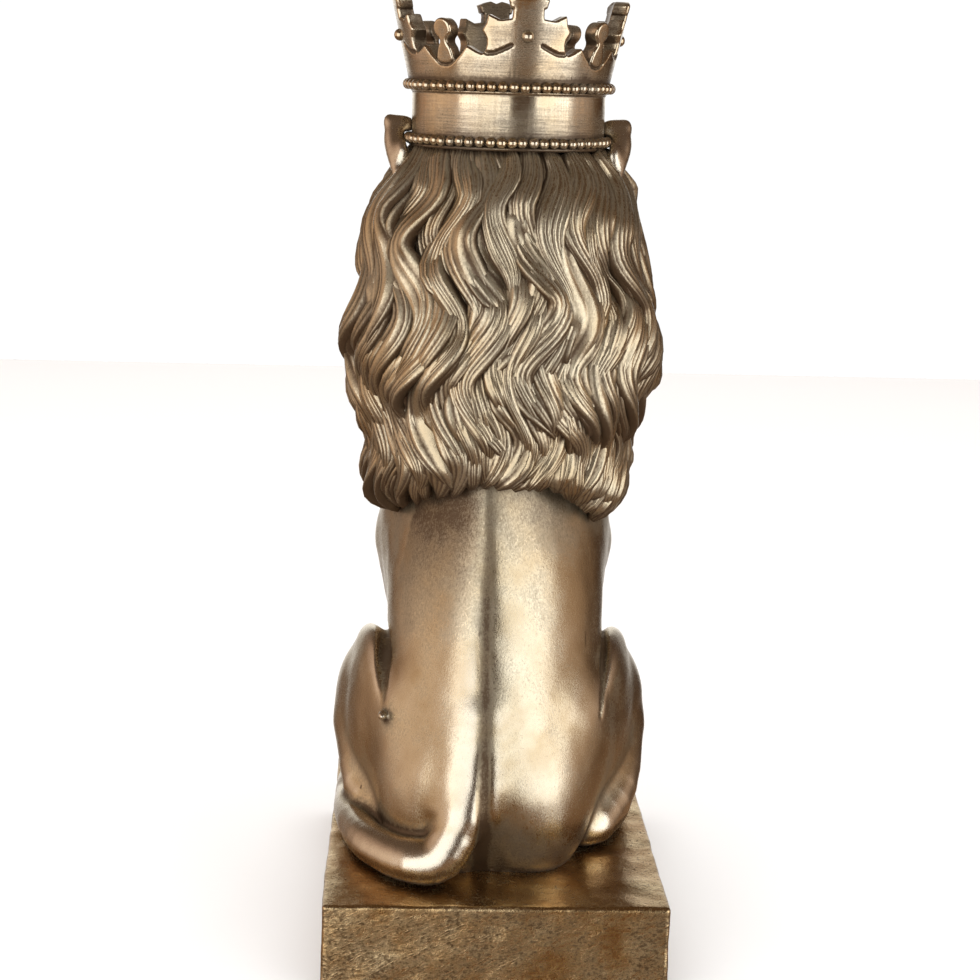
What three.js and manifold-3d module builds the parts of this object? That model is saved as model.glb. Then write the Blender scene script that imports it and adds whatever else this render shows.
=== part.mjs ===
// A crowned lion sitting upright on a rectangular plinth, cast in resin, in millimetres, +Z up.
// The lion looks along -Y. The origin is the middle of the plinth's underside.
// Three castings make it: the plinth, the lion that is set down on it, and the crown on the lion's head.

import * as THREE from "three";
import { mergeVertices } from "three/addons/utils/BufferGeometryUtils.js";
import Module from "manifold-3d";

const wasm = await Module();
wasm.setup();

// ---- driving dimensions -------------------------------------------------------------------------

const GAP = 0.3; // between two castings that touch

const PLINTH = { width: 125, depth: 172, height: 32, draft: 0.2, edge: 1.6 };

const CROWN = {
  base: 296.5, // height of its lower edge
  turn: 6, // degrees that its back cross stands off the lion's middle plane
  centreY: 2,
  wall: 6.2,
  bandRadius: 35.6,
  lowerBeads: 3, // heights of the two strings of beads above the lower edge
  upperBeads: 22.3,
  beadRadius: 1.9,
  beadOut: 1.3, // the strings' middle line, outside the band
  flare: 1, // the step out from the band to the wall above it
  rimRadius: 43.5,
  crest: 31.4, // the crosses' top, above the upper beads
  bossRadius: 1.9,
  bossHeight: 19,
};

const SEAT = PLINTH.height + GAP; // the lion's flat underside
const SCALP = { radius: CROWN.bandRadius - CROWN.wall - GAP, top: 309 };

// Heights are stations up the body. Back and front are the Y of the outline, half is the half width.
const TORSO = {
  z: [SEAT, 50, 70, 90, 110, 130, 150, 170, 190, 205],
  back: [54, 65, 70, 67, 60.5, 54, 48, 43.5, 39, 34],
  front: [-20, -30, -34, -36, -38, -42, -47, -50, -50, -46],
  half: [30, 40, 45, 45, 42, 42, 40.5, 37.5, 36, 33],
};

// The furrow of the spine, which lies a little to one side because the figure twists.
const SPINE = { aside: 5, width: 3.2, depth: 1.6, shallow: 0.8, low: 60, high: 165 };

const MANE = {
  z: [112, 135, 158, 168, 178, 192, 202, 210, 224, 240, 256, 270, 281, 289, 297],
  back: [44, 44, 46, 48, 50, 50.5, 51, 52, 52, 51.5, 50, 48, 45, 42, 38.5],
  front: [-47, -57, -60, -60, -59, -57, -54, -52, -50, -48, -46, -44, -42, -39, -34],
  half: [11, 28, 42.5, 48.5, 50.5, 49, 52, 55.5, 57.5, 55, 51.5, 49.5, 46, 41.5, 37.5],
  backEdge: 179, // the height of its lower edge behind, at the sides and on the chest
  sideEdge: 157,
  chestEdge: 113,
  locks: 12,
  relief: 2.6,
  sway: 0.9, // how far a lock swings to each side, as part of its spacing over 2 pi
  waveLength: 62,
  tip: 2.6, // how far a lock's tip hangs below the edge
  tuck: 3, // how far the edge turns in under the locks
  fade: 18, // the locks fade out over this height below the crown
};

// Stations from the cheeks to the muzzle's tip. Top and chin are heights.
const HEAD = {
  y: [-20, -38, -48, -55, -63, -71, -75],
  half: [34, 32, 26, 19, 16, 13.5, 8],
  top: [300, 298, 293, 283, 276, 271, 268],
  chin: [236, 239, 241, 242, 243, 248, 254],
};

// ---- closed surfaces and joins ------------------------------------------------------------------

// A smooth curve through stations, read at any height between the first and the last.
function station(heights, values, z) {
  let i = 0;
  while (i < heights.length - 2 && z > heights[i + 1]) i++;
  const slope = (k) => {
    const low = Math.max(k - 1, 0);
    const high = Math.min(k + 1, heights.length - 1);
    return (values[high] - values[low]) / (heights[high] - heights[low]);
  };
  const span = heights[i + 1] - heights[i];
  const t = THREE.MathUtils.clamp((z - heights[i]) / span, 0, 1);
  const hermite = (2 * t ** 3 - 3 * t ** 2 + 1) * values[i] + (3 * t ** 2 - 2 * t ** 3) * values[i + 1];
  return hermite + span * ((t ** 3 - 2 * t ** 2 + t) * slope(i) + (t ** 3 - t ** 2) * slope(i + 1));
}

// A closed skin over rings of points that run anticlockwise seen from the last ring.
function skin(rings) {
  const around = rings[0].length;
  const middle = (ring) => ring.reduce((sum, p) => sum.add(p), new THREE.Vector3()).divideScalar(around);
  const points = [...rings.flat(), middle(rings[0]), middle(rings.at(-1))];
  const foot = points.length - 2;
  const faces = [];
  for (let j = 0; j < around; j++) {
    const k = (j + 1) % around;
    for (let i = 0; i + 1 < rings.length; i++) {
      const a = i * around;
      const b = a + around;
      faces.push(a + j, a + k, b + k, a + j, b + k, b + j);
    }
    const top = (rings.length - 1) * around;
    faces.push(foot, k, j, foot + 1, top + j, top + k);
  }
  return new THREE.BufferGeometry().setFromPoints(points).setIndex(faces);
}

function solid(geometry) {
  const bare = geometry.clone();
  bare.deleteAttribute("normal");
  bare.deleteAttribute("uv");
  const merged = mergeVertices(bare, 1e-4);
  return new wasm.Manifold(
    new wasm.Mesh({
      numProp: 3,
      vertProperties: merged.attributes.position.array,
      triVerts: new Uint32Array(merged.index.array),
    }),
  );
}

const join = (geometries) => geometries.map(solid).reduce((whole, piece) => whole.add(piece));

function geometryOf(manifold) {
  const mesh = manifold.getMesh();
  return new THREE.BufferGeometry()
    .setAttribute("position", new THREE.BufferAttribute(mesh.vertProperties, 3))
    .setIndex(new THREE.BufferAttribute(mesh.triVerts, 1));
}

// An egg with its middle, half sizes and turn about X, Y and Z in degrees.
function egg(middle, half, turn = [0, 0, 0], segments = 10) {
  const turned = new THREE.Euler(...turn.map(THREE.MathUtils.degToRad));
  return new THREE.SphereGeometry(1, segments, Math.round(segments * 0.6))
    .scale(...half)
    .applyMatrix4(new THREE.Matrix4().makeRotationFromEuler(turned))
    .translate(...middle);
}

// A limb: round rings along a smooth path, its radius given at each point of the path.
function limb(path, radii, rings = 12, around = 14) {
  const curve = new THREE.CatmullRomCurve3(path.map((p) => new THREE.Vector3(...p)));
  const frames = curve.computeFrenetFrames(rings);
  const at = radii.map((_, i) => i / (radii.length - 1));
  const sections = [];
  for (let i = 0; i <= rings; i++) {
    const middle = curve.getPoint(i / rings);
    const radius = station(at, radii, i / rings);
    const section = [];
    for (let j = 0; j < around; j++) {
      const angle = (2 * Math.PI * j) / around;
      section.push(
        middle
          .clone()
          .addScaledVector(frames.normals[i], radius * Math.cos(angle))
          .addScaledVector(frames.binormals[i], radius * Math.sin(angle)),
      );
    }
    sections.push(section);
  }
  return skin(sections);
}

// A lathe about the Z axis from [radius, height] pairs that close on themselves.
function lathe(profile, segments) {
  const closed = [...profile, profile[0]].map(([radius, height]) => new THREE.Vector2(radius, height));
  return new THREE.LatheGeometry(closed, segments).rotateX(Math.PI / 2);
}

const bothSides = (make) => [make(1), make(-1)];

// ---- the plinth ---------------------------------------------------------------------------------

// A block with rounded corners and edges, a little wider at its foot.
function plinth() {
  const { width, depth, height, draft, edge } = PLINTH;
  const ring = (inset, z) => {
    const x = width / 2 - inset;
    const y = depth / 2 - inset;
    const points = [];
    for (const [sx, sy, from] of [[1, 1, 0], [-1, 1, 90], [-1, -1, 180], [1, -1, 270]]) {
      for (const step of [0, 30, 60, 90]) {
        const angle = THREE.MathUtils.degToRad(from + step);
        const corner = [sx * (x - edge), sy * (y - edge)];
        points.push(new THREE.Vector3(corner[0] + edge * Math.cos(angle), corner[1] + edge * Math.sin(angle), z));
      }
    }
    return points;
  };
  return skin([
    ring(edge * 0.4, 0),
    ring(0, edge * 0.4),
    ring(draft, height - edge),
    ring(draft + edge * 0.3, height - edge * 0.3),
    ring(draft + edge, height),
  ]);
}

// ---- the lion's body ----------------------------------------------------------------------------

// One level outline of a body, with a crease down its back.
function outline(back, front, half, z, around, crease = 0, power = 2.3) {
  const middle = (back + front) / 2;
  const deep = (back - front) / 2;
  const points = [];
  for (let j = 0; j < around; j++) {
    const angle = (2 * Math.PI * j) / around;
    const [c, s] = [Math.cos(angle), Math.sin(angle)];
    const x = half * Math.sign(c) * Math.abs(c) ** (2 / power);
    const y = deep * Math.sign(s) * Math.abs(s) ** (2 / power);
    const furrow = s > 0 ? crease * Math.exp(-(((x - SPINE.aside) / SPINE.width) ** 2)) : 0;
    points.push(new THREE.Vector3(x, middle + y - furrow, z));
  }
  return points;
}

function torso() {
  const rings = [];
  const top = TORSO.z.at(-1);
  const steps = 8;
  for (let i = 0; i <= steps; i++) {
    const z = SEAT + ((top - SEAT) * i) / steps;
    const at = (row) => station(TORSO.z, row, z);
    const crease = z > SPINE.low && z < SPINE.high ? SPINE.depth : SPINE.shallow;
    rings.push(outline(at(TORSO.back), at(TORSO.front), at(TORSO.half), z, 22, crease));
  }
  return skin(rings);
}

// The folded hind leg: thigh, buttock, shank, and a long foot with four toes.
const hindLeg = (side) => [
  egg([side * 36.6 + 0.9, 17, 76.5], [20.5, 44, 41.5], [0, side * 9, 0], 14),
  egg([side * 21, 40, 55], [25, 25, 32], [0, 0, 0], 9),
  egg([side * 50, -20, 76], [11, 17, 20], [-20, 0, 0]),
  limb([[side * 49, -14, 66], [side * 47, 8, 50], [side * 43, 26, 42]], [13, 11, 9], 2, 8),
  limb([[side * 43, 29, 40], [side * 47, 6, 40.5], [side * 48, -34, 40]], [8, 9.5, 9], 2, 8),
  ...[-1.5, -0.5, 0.5, 1.5].map((toe) =>
    egg([side * 48 + toe * 5.2, -45 + Math.abs(toe) * 2.2, 38.5], [3.6, 10, 6.6], [0, 0, 0], 6),
  ),
];

// The straight foreleg under its shoulder, with a paw of four toes.
const foreLeg = (side) => [
  egg([side * 29.5, -22, 148], [15.5, 23, 36], [8, 0, 0]),
  limb(
    [[side * 30, -28, 140], [side * 27, -38, 104], [side * 24, -47, 70], [side * 23.5, -51, 46], [side * 23.5, -54, 38]],
    [17, 14, 11.5, 11.5, 12],
    5,
    10,
  ),
  ...[-1.5, -0.5, 0.5, 1.5].map((toe) =>
    egg([side * 23.5 + toe * 6, -66 + Math.abs(toe) * 2.6, 40], [4.2, 12.5, 8.4], [0, 0, 0], 6),
  ),
];

// The tail leaves the rump, sweeps round the left haunch and ends in a tuft beside the hind foot.
const tail = () => [
  limb(
    [[8, 60, 80], [12, 66, 60], [20, 68, 44], [33, 63, 40.5], [46, 46, 40], [53, 24, 39.5], [56, 2, 39], [55.5, -12, 39]],
    [7, 8, 8.8, 8.4, 7.6, 6.6, 5.8, 5.4],
    11,
    8,
  ),
  egg([54.6, -18, 39.4], [6.4, 13, 6.6], [0, 0, 0], 8),
];

// ---- the mane and head --------------------------------------------------------------------------

// The height of the mane's lower edge, which dips from the nape to the chest, at an angle about Z.
function maneEdge(angle) {
  const { backEdge, sideEdge, chestEdge } = MANE;
  const s = Math.sin(angle);
  return s > 0 ? sideEdge + (backEdge - sideEdge) * s ** 2 : sideEdge + (chestEdge - sideEdge) * Math.abs(s) ** 3;
}

// A skirt fluted into waving locks, each ending in a tip of its own.
function mane() {
  const { locks, relief, sway, waveLength, tip, tuck, fade } = MANE;
  const around = locks * 5;
  const steps = 15;
  const top = MANE.z.at(-1);
  const rings = [];
  for (let i = 0; i <= steps; i++) {
    const ring = [];
    for (let j = 0; j < around; j++) {
      const angle = (2 * Math.PI * j) / around;
      const [c, s] = [Math.cos(angle), Math.sin(angle)];
      const edge = maneEdge(angle) - tip * Math.sin(locks * angle) * (1 - i / steps) ** 2;
      const z = edge + ((top - edge) * i) / steps;
      const at = (row) => station(MANE.z, row, z);
      const middle = (at(MANE.back) + at(MANE.front)) / 2;
      const deep = (at(MANE.back) - at(MANE.front)) / 2;
      const wave = sway * Math.sin((2 * Math.PI * (z - edge)) / waveLength);
      const lift = THREE.MathUtils.smoothstep(top - z, 0, fade) * relief * Math.sin(locks * angle + wave);
      const hem = i === 0 ? tuck : 0;
      const reach = 1 / Math.sqrt((c / at(MANE.half)) ** 2 + (s / deep) ** 2) + lift - hem;
      ring.push(new THREE.Vector3(reach * c, middle + reach * s, z));
    }
    rings.push(ring);
  }
  return skin(rings);
}

// The head from cheeks to muzzle tip: upright outlines one behind the other, towards -Y.
function head() {
  const rings = [];
  for (let i = 0; i < HEAD.y.length; i++) {
    const ring = [];
    const middle = (HEAD.top[i] + HEAD.chin[i]) / 2;
    const high = (HEAD.top[i] - HEAD.chin[i]) / 2;
    for (const point of outline(high, -high, HEAD.half[i], 0, 16)) {
      ring.push(new THREE.Vector3(point.x, HEAD.y[i], middle + point.y));
    }
    rings.push(ring);
  }
  return skin(rings);
}

// The head with its nose, muzzle pads, chin, brows and eyes.
const face = () => [
  head(),
  egg([0, -74.5, 267.5], [7.2, 4.4, 4], [0, 0, 0], 8),
  egg([0, -60, 246], [11, 11, 8], [0, 0, 0], 8),
  ...bothSides((side) => egg([side * 7.5, -65, 257.5], [10.5, 11.5, 8.5], [0, 0, side * 10], 8)),
  ...bothSides((side) => egg([side * 13.5, -50, 286], [11, 8, 5], [0, side * 12, side * 20], 8)),
  ...bothSides((side) => egg([side * 14.5, -54.5, 277.5], [5, 4.5, 3.6], [0, 0, 0], 7)),
];

const ears = () => bothSides((side) => egg([side * 39.5, -2, 296.5], [6.2, 5.6, 11], [10, side * 10, 0], 9));

// The head's top, which closes the crown from below.
const scalp = () =>
  new THREE.CylinderGeometry(SCALP.radius - 3, SCALP.radius, SCALP.top - 280, 24)
    .rotateX(Math.PI / 2)
    .translate(0, CROWN.centreY, (SCALP.top + 280) / 2);

// The room that the crown takes, with the gap all round it.
function crownRoom() {
  const { base, bandRadius, wall, beadRadius, beadOut, centreY } = CROWN;
  const outer = bandRadius + beadOut + beadRadius + 2 * GAP;
  const inner = bandRadius - wall - GAP;
  const top = SCALP.top + 20;
  return lathe([[inner, base - GAP], [outer, base - GAP], [outer, top], [inner, top]], 28).translate(0, centreY, 0);
}

function lion() {
  const flesh = join([
    torso(),
    ...bothSides(hindLeg).flat(),
    ...bothSides(foreLeg).flat(),
    ...tail(),
    mane(),
    ...face(),
    ...ears(),
    scalp(),
  ]);
  const belowSeat = new THREE.BoxGeometry(200, 240, 40).translate(0, 0, SEAT - 20);
  return geometryOf(flesh.subtract(solid(belowSeat)).subtract(solid(crownRoom())));
}

// ---- the crown ----------------------------------------------------------------------------------

// A half round string of beads on the band, as the corners of its section.
function beadString(radius, height) {
  const { beadRadius } = CROWN;
  return [-60, 0, 60].map((degrees) => {
    const turn = THREE.MathUtils.degToRad(degrees);
    return [radius + beadRadius * Math.cos(turn), height + beadRadius * Math.sin(turn)];
  });
}

// The band, its two strings of beads and the flared wall above, as one turned ring.
function crownWall() {
  const { wall, bandRadius, lowerBeads, upperBeads, rimRadius, crest, beadRadius, beadOut, flare } = CROWN;
  const top = upperBeads + crest;
  const outside = [
    [bandRadius + flare, 0],
    ...beadString(bandRadius + beadOut, lowerBeads),
    [bandRadius, lowerBeads + beadRadius],
    [bandRadius, upperBeads - beadRadius],
    ...beadString(bandRadius + beadOut, upperBeads),
    [bandRadius + flare, upperBeads + beadRadius],
    [rimRadius, top],
  ];
  const inside = [
    [rimRadius - wall, top],
    [bandRadius + flare - wall, upperBeads + beadRadius],
    [bandRadius - wall, 0],
  ];
  return lathe([...outside, ...inside], 30);
}

// Half of the opening between a cross and the fleur-de-lis beside it: the outline runs round the wall from
// the middle of the cross, and up from the upper beads. It is bent round the crown's axis.
function crownNotch(side) {
  const { crest, upperBeads, rimRadius, wall } = CROWN;
  const trueRadius = 40; // where the outline keeps its size
  const lilyMiddle = (Math.PI / 4) * trueRadius;
  const clear = crest + 20;
  const flat = new THREE.Shape();
  flat.moveTo(0, clear);
  flat.lineTo(0, crest);
  flat.lineTo(6.8, crest - 1.4); // the cross's head
  flat.quadraticCurveTo(5.2, 27, 5.5, 23.2);
  flat.lineTo(13.8, 24.6); // its arm
  flat.lineTo(15.9, 18.8);
  flat.lineTo(14.3, 15.2);
  flat.lineTo(15.4, 11.8);
  flat.lineTo(17.2, 11.4);
  flat.lineTo(21.9, 13.8); // the small point between
  flat.lineTo(27.2, 9);
  flat.lineTo(28, 12.8); // the petal and bud of the fleur-de-lis
  flat.lineTo(29.7, 15.2);
  flat.absarc(lilyMiddle, 19.4, 3.7, Math.PI * 1.3, Math.PI / 2, true);
  flat.lineTo(lilyMiddle, clear);
  const bent = new THREE.ExtrudeGeometry(flat, { depth: wall * 6, bevelEnabled: false, curveSegments: 3 });
  const p = bent.attributes.position;
  for (let i = 0; i < p.count; i++) {
    const angle = (side * p.getX(i)) / trueRadius;
    const radius = rimRadius - 3 * wall + p.getZ(i);
    p.setXYZ(i, radius * Math.sin(angle), radius * Math.cos(angle), upperBeads + p.getY(i));
  }
  return side > 0 ? turnedFaces(bent) : bent;
}

// Turns every face of an unindexed shape round, after a mirroring.
function turnedFaces(geometry) {
  const p = geometry.attributes.position;
  for (let i = 0; i < p.count; i += 3) {
    const first = new THREE.Vector3().fromBufferAttribute(p, i);
    const second = new THREE.Vector3().fromBufferAttribute(p, i + 1);
    p.setXYZ(i, ...second);
    p.setXYZ(i + 1, ...first);
  }
  return geometry;
}

// Four crosses stand at the quarters, each with a boss at its middle.
function crown() {
  const { bandRadius, flare, upperBeads, bossRadius, bossHeight, rimRadius, crest } = CROWN;
  let ring = solid(crownWall());
  const bossReach = THREE.MathUtils.lerp(bandRadius + flare, rimRadius, bossHeight / crest);
  for (let quarter = 0; quarter < 4; quarter++) {
    const turn = (quarter * Math.PI) / 2;
    for (const side of [1, -1]) ring = ring.subtract(solid(crownNotch(side).rotateZ(turn)));
    const boss = egg([0, bossReach, upperBeads + bossHeight], [bossRadius, bossRadius, bossRadius], [0, 0, 0], 8);
    ring = ring.add(solid(boss.rotateZ(turn)));
  }
  return geometryOf(ring);
}

// ---- the sculpture ------------------------------------------------------------------------------

const gold = new THREE.MeshStandardMaterial({ color: 0xb8965f, roughness: 0.34, metalness: 1 });
const darkGold = new THREE.MeshStandardMaterial({ color: 0x96743f, roughness: 0.42, metalness: 1 });

function casting(name, geometry, material) {
  const mesh = new THREE.Mesh(geometry, material);
  mesh.name = name;
  return mesh;
}

const sculpture = new THREE.Group();
const crownMesh = casting("crown", crown(), gold);
crownMesh.position.set(0, CROWN.centreY, CROWN.base);
crownMesh.rotation.z = THREE.MathUtils.degToRad(CROWN.turn);
sculpture.add(casting("plinth", plinth(), darkGold), casting("lion", lion(), gold), crownMesh);

export default sculpture;
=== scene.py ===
# %% [markdown]
# # A crowned lion on its plinth
#
# A mantelpiece figure: a lion sits upright on a block and wears a crown. The real one is three castings of resin
# under a gold lacquer, with a brown patina wiped into the hollows. This script takes the three solids of the packed
# model as its frame, and stands a finely carved piece in the place of each.

# %% Frame
import math

import bmesh
import bpy
import numpy as np
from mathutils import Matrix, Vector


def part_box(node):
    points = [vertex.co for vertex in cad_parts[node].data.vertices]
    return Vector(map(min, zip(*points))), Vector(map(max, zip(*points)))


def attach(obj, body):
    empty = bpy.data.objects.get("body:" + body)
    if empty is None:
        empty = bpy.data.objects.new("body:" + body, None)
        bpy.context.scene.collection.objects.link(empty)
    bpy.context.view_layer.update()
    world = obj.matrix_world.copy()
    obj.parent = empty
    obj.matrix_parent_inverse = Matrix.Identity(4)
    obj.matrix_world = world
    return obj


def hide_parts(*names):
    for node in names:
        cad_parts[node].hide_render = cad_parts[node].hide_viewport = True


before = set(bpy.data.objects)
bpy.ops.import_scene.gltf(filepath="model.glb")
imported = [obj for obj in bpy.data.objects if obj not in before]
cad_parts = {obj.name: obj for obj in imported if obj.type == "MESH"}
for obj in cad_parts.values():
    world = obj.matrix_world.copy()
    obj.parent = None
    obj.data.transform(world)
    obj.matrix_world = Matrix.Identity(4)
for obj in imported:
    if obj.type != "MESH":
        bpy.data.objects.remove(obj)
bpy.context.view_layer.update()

import openvdb
from mathutils import Euler, Matrix, Vector, noise

MM = 0.001  # the shapes below are worked out in millimetres


def box_mm(node):
    """A CAD node's lowest and highest corners, in millimetres."""
    low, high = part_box(node)
    return np.array(low) / MM, np.array(high) / MM


PLINTH_LOW, PLINTH_HIGH = box_mm("plinth")
LION_LOW, LION_HIGH = box_mm("lion")
CROWN_LOW, CROWN_HIGH = box_mm("crown")
SEAT = LION_LOW[2]
print("plinth", PLINTH_LOW, PLINTH_HIGH, "lion", LION_LOW, LION_HIGH, "crown", CROWN_LOW, CROWN_HIGH)

# %% [markdown]
# ## The camera
#
# A long lens stands behind the lion, at about the height of its crown, and looks down a little. The camera is turned
# by a few degrees and rolled by one and a half, as a hand-set tripod is, so its axes are built from those angles.

# %% Camera
CAMERA_PLACE = Vector((0.03271, 0.73805, 0.32547))
CAMERA_YAW, CAMERA_PITCH, CAMERA_ROLL = 2.310, 12.173, 1.548  # degrees: towards +X, down, anticlockwise
CAMERA_LENS = 71.97  # millimetres, before a 36 mm sensor


def camera_axes(yaw, pitch, roll):
    """Right, up and back of a camera that looks along -Y before it is turned."""
    yaw, pitch, roll = (math.radians(angle) for angle in (yaw, pitch, roll))
    ahead = Vector((-math.sin(yaw) * math.cos(pitch), -math.cos(yaw) * math.cos(pitch), -math.sin(pitch)))
    level_right = ahead.cross(Vector((0, 0, 1))).normalized()
    level_up = level_right.cross(ahead)
    right = math.cos(roll) * level_right + math.sin(roll) * level_up
    up = math.cos(roll) * level_up - math.sin(roll) * level_right
    return right, up, -ahead


camera = bpy.data.objects.new("camera", bpy.data.cameras.new("camera"))
camera.data.lens = CAMERA_LENS
camera.data.sensor_width = 36
turn = Matrix(camera_axes(CAMERA_YAW, CAMERA_PITCH, CAMERA_ROLL)).transposed().to_4x4()
camera.matrix_world = Matrix.Translation(CAMERA_PLACE) @ turn
bpy.context.scene.collection.objects.link(camera)
bpy.context.scene.camera = camera
print("camera", tuple(CAMERA_PLACE))

# %% [markdown]
# ## A block of clay
#
# A carved animal has no seams between its limbs: a thigh runs into the rump. Boxes and spheres that are merely pushed
# together show a hard line there, and sculpting by hand can't be written down. So the figure is modelled as a
# distance field. It is a block of space where each point knows how far it is from the surface. Shapes are melted
# together or carved away with a soft edge, and at the end the surface is read off where the distance is zero.

# %% Clay
FAR = 12.0  # millimetres: distances beyond it aren't kept


def soft_min(a, b, melt):
    """The smaller of two distances, with the corner between them filled over the width melt."""
    if melt <= 0:
        return np.minimum(a, b)
    overlap = np.maximum(melt - np.abs(a - b), 0) / melt
    return np.minimum(a, b) - overlap * overlap * melt / 4


class Clay:
    """A block of space, in millimetres, that shapes are melted into and carved out of."""

    def __init__(self, low, high, step):
        self.low, self.step = np.array(low, float), step
        self.count = np.ceil((np.array(high, float) - self.low) / step).astype(int) + 1
        self.field = np.full(self.count, FAR, np.float32)

    def window(self, low, high):
        """The part of the block between two corners: its slices and its coordinates."""
        first = np.clip(np.floor((np.array(low) - self.low) / self.step).astype(int), 0, self.count - 1)
        last = np.clip(np.ceil((np.array(high) - self.low) / self.step).astype(int) + 1, 1, self.count)
        slices = tuple(slice(a, b) for a, b in zip(first, last))
        axes = [(self.low[i] + self.step * np.arange(first[i], last[i])).astype(np.float32) for i in range(3)]
        return slices, np.meshgrid(*axes, indexing="ij", sparse=True)

    def add(self, shape, melt=0.0, sign=1):
        distance, low, high = shape
        slices, (x, y, z) = self.window(low - melt - 3, high + melt + 3)
        self.field[slices] = sign * soft_min(sign * self.field[slices], distance(x, y, z), melt)

    def carve(self, shape, melt=0.0):
        self.add(shape, melt, -1)

    def surface(self):
        """The points and four-sided faces where the distance is zero."""
        grid = openvdb.FloatGrid()
        grid.background = FAR
        grid.copyFromArray(np.clip(self.field, -FAR, FAR))
        points, _, quads = grid.convertToPolygons(isovalue=0.0)
        return points * self.step + self.low, quads


# %% Shapes to melt in
def egg(middle, half, turn=(0, 0, 0)):
    """An egg with its middle, half sizes and turn about X, Y and Z in degrees."""
    middle, half = np.array(middle, float), np.array(half, float)
    axes = np.array(Euler([math.radians(a) for a in turn]).to_matrix())

    def distance(x, y, z):
        x, y, z = x - middle[0], y - middle[1], z - middle[2]
        near, slope = 0, 0
        for i in range(3):
            along = (axes[0, i] * x + axes[1, i] * y + axes[2, i] * z) / half[i]
            near = near + along**2
            slope = slope + (along / half[i]) ** 2
        near, slope = np.sqrt(near), np.sqrt(slope)
        return (near * (near - 1) / np.maximum(slope, 1e-6)).astype(np.float32)

    reach = np.abs(axes) @ half
    return distance, middle - reach, middle + reach


def smooth_path(points, radii, steps):
    """Points and radii along a Catmull-Rom curve through the given ones."""
    rows = np.column_stack([np.array(points, float), np.array(radii, float)])
    rows = np.vstack([2 * rows[0] - rows[1], rows, 2 * rows[-1] - rows[-2]])
    spans = len(rows) - 3
    made = []
    for place in np.linspace(0, spans, steps + 1):
        i = min(int(place), spans - 1)
        t = place - i
        a, b, c, d = rows[i : i + 4]
        made.append(0.5 * (2 * b + (c - a) * t + (2 * a - 5 * b + 4 * c - d) * t**2 + (3 * b - a - 3 * c + d) * t**3))
    made = np.array(made)
    return made[:, :3], made[:, 3]


def off_line(places, a, b):
    """How far places lie from the straight line between two points, and their share of the way along it."""
    way = np.subtract(b, a)
    t = np.clip(sum((p - q) * w for p, q, w in zip(places, a, way)) / (way @ way), 0, 1)
    return np.sqrt(sum((p - q - t * w) ** 2 for p, q, w in zip(places, a, way))), t


def limb(points, radii, steps=12):
    """A round limb along a smooth path, its radius given at each point of the path."""
    path, radius = smooth_path(points, radii, steps)

    def distance(x, y, z):
        nearest = FAR + 999
        for a, b, ra, rb in zip(path, path[1:], radius, radius[1:]):
            gone, t = off_line((x, y, z), a, b)
            nearest = np.minimum(nearest, gone - (ra + t * (rb - ra)))
        return nearest.astype(np.float32)

    reach = radius.max()
    return distance, path.min(0) - reach, path.max(0) + reach


def station(places, values, at):
    """A smooth curve through stations, read at any place between the first and the last."""
    places, values = np.array(places, float), np.array(values, float)
    slopes = np.gradient(values, places)
    at = np.clip(at, places[0], places[-1])
    i = np.clip(np.searchsorted(places, at, side="right") - 1, 0, len(places) - 2)
    span = places[i + 1] - places[i]
    t = (at - places[i]) / span
    rise = (2 * t**3 - 3 * t**2 + 1) * values[i] + (3 * t**2 - 2 * t**3) * values[i + 1]
    return rise + span * ((t**3 - 2 * t**2 + t) * slopes[i] + (t**3 - t**2) * slopes[i + 1])


def stations(table, key, at):
    """The other rows of a table of stations, read at any place along the row named key."""
    return {name: station(table[key], row, at).astype(np.float32) for name, row in table.items() if name != key}


def ringed(across, along_low, along_high, half, power):
    """How far points lie outside a rounded outline.

    across holds their two coordinates. The first reaches half to each side, and the second runs from along_low to
    along_high. A power of 2 makes the outline an ellipse, and a higher one makes it squarer.
    """
    middle, deep = (along_high + along_low) / 2, (along_high - along_low) / 2
    x, y = across
    size = (np.abs(x / half) ** power + np.abs((y - middle) / deep) ** power) ** (1 / power)
    size = np.maximum(size, 1e-3)
    return np.hypot(x, y - middle) * (1 - 1 / size)


print("clay ready")

# %% [markdown]
# ## The lion's body
#
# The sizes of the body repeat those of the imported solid: rows of stations up the trunk, then eggs and limbs for the
# folded hind legs, the straight forelegs and the tail. What the clay adds is the modelling between them: the furrow
# of the spine, which lies a little aside because the figure twists, the cleft where each thigh stands off the flank,
# and soft joints.

# %% Trunk, legs and tail
TORSO = {
    "z": [SEAT, 50, 70, 90, 110, 130, 150, 170, 190, 205],
    "back": [54, 65, 70, 67, 60.5, 54, 48, 43.5, 39, 34],
    "front": [-20, -30, -34, -36, -38, -42, -47, -50, -50, -46],
    "half": [30, 38, 42, 42.5, 41.5, 41.5, 40.5, 37.5, 36, 33],
}
TAIL_PATH = [(8, 60, 80), (12, 66, 60), (20, 68, 44), (33, 63, 40.5), (46, 46, 40), (53, 24, 39.5)]
TAIL_PATH += [(56, 2, 39), (55.5, -12, 39)]
TAIL_RADII = [7, 8, 8.8, 8.4, 7.6, 6.6, 5.8, 5.4]
STEP = 0.9  # millimetres between the points of the clay

SPINE = {
    "z": [40, 60, 85, 120, 150, 178],
    "depth": [1.0, 0.5, 0.3, 0.25, 0.2, 0.1],
    "wide": [4, 3.4, 2.8, 2.6, 2.6, 2.6],
}
SPINE_ASIDE = 6.0  # millimetres: the figure twists a little, so its spine lies towards +X
BACK_POWER = {"z": [SEAT, 75, 95, 125, 150, 205], "power": [2.1, 1.95, 1.8, 1.7, 1.62, 1.6]}  # under 2, a soft ridge
FRONT_POWER = 2.3

block = Clay(LION_LOW - 4, LION_HIGH + 4, STEP)


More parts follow.
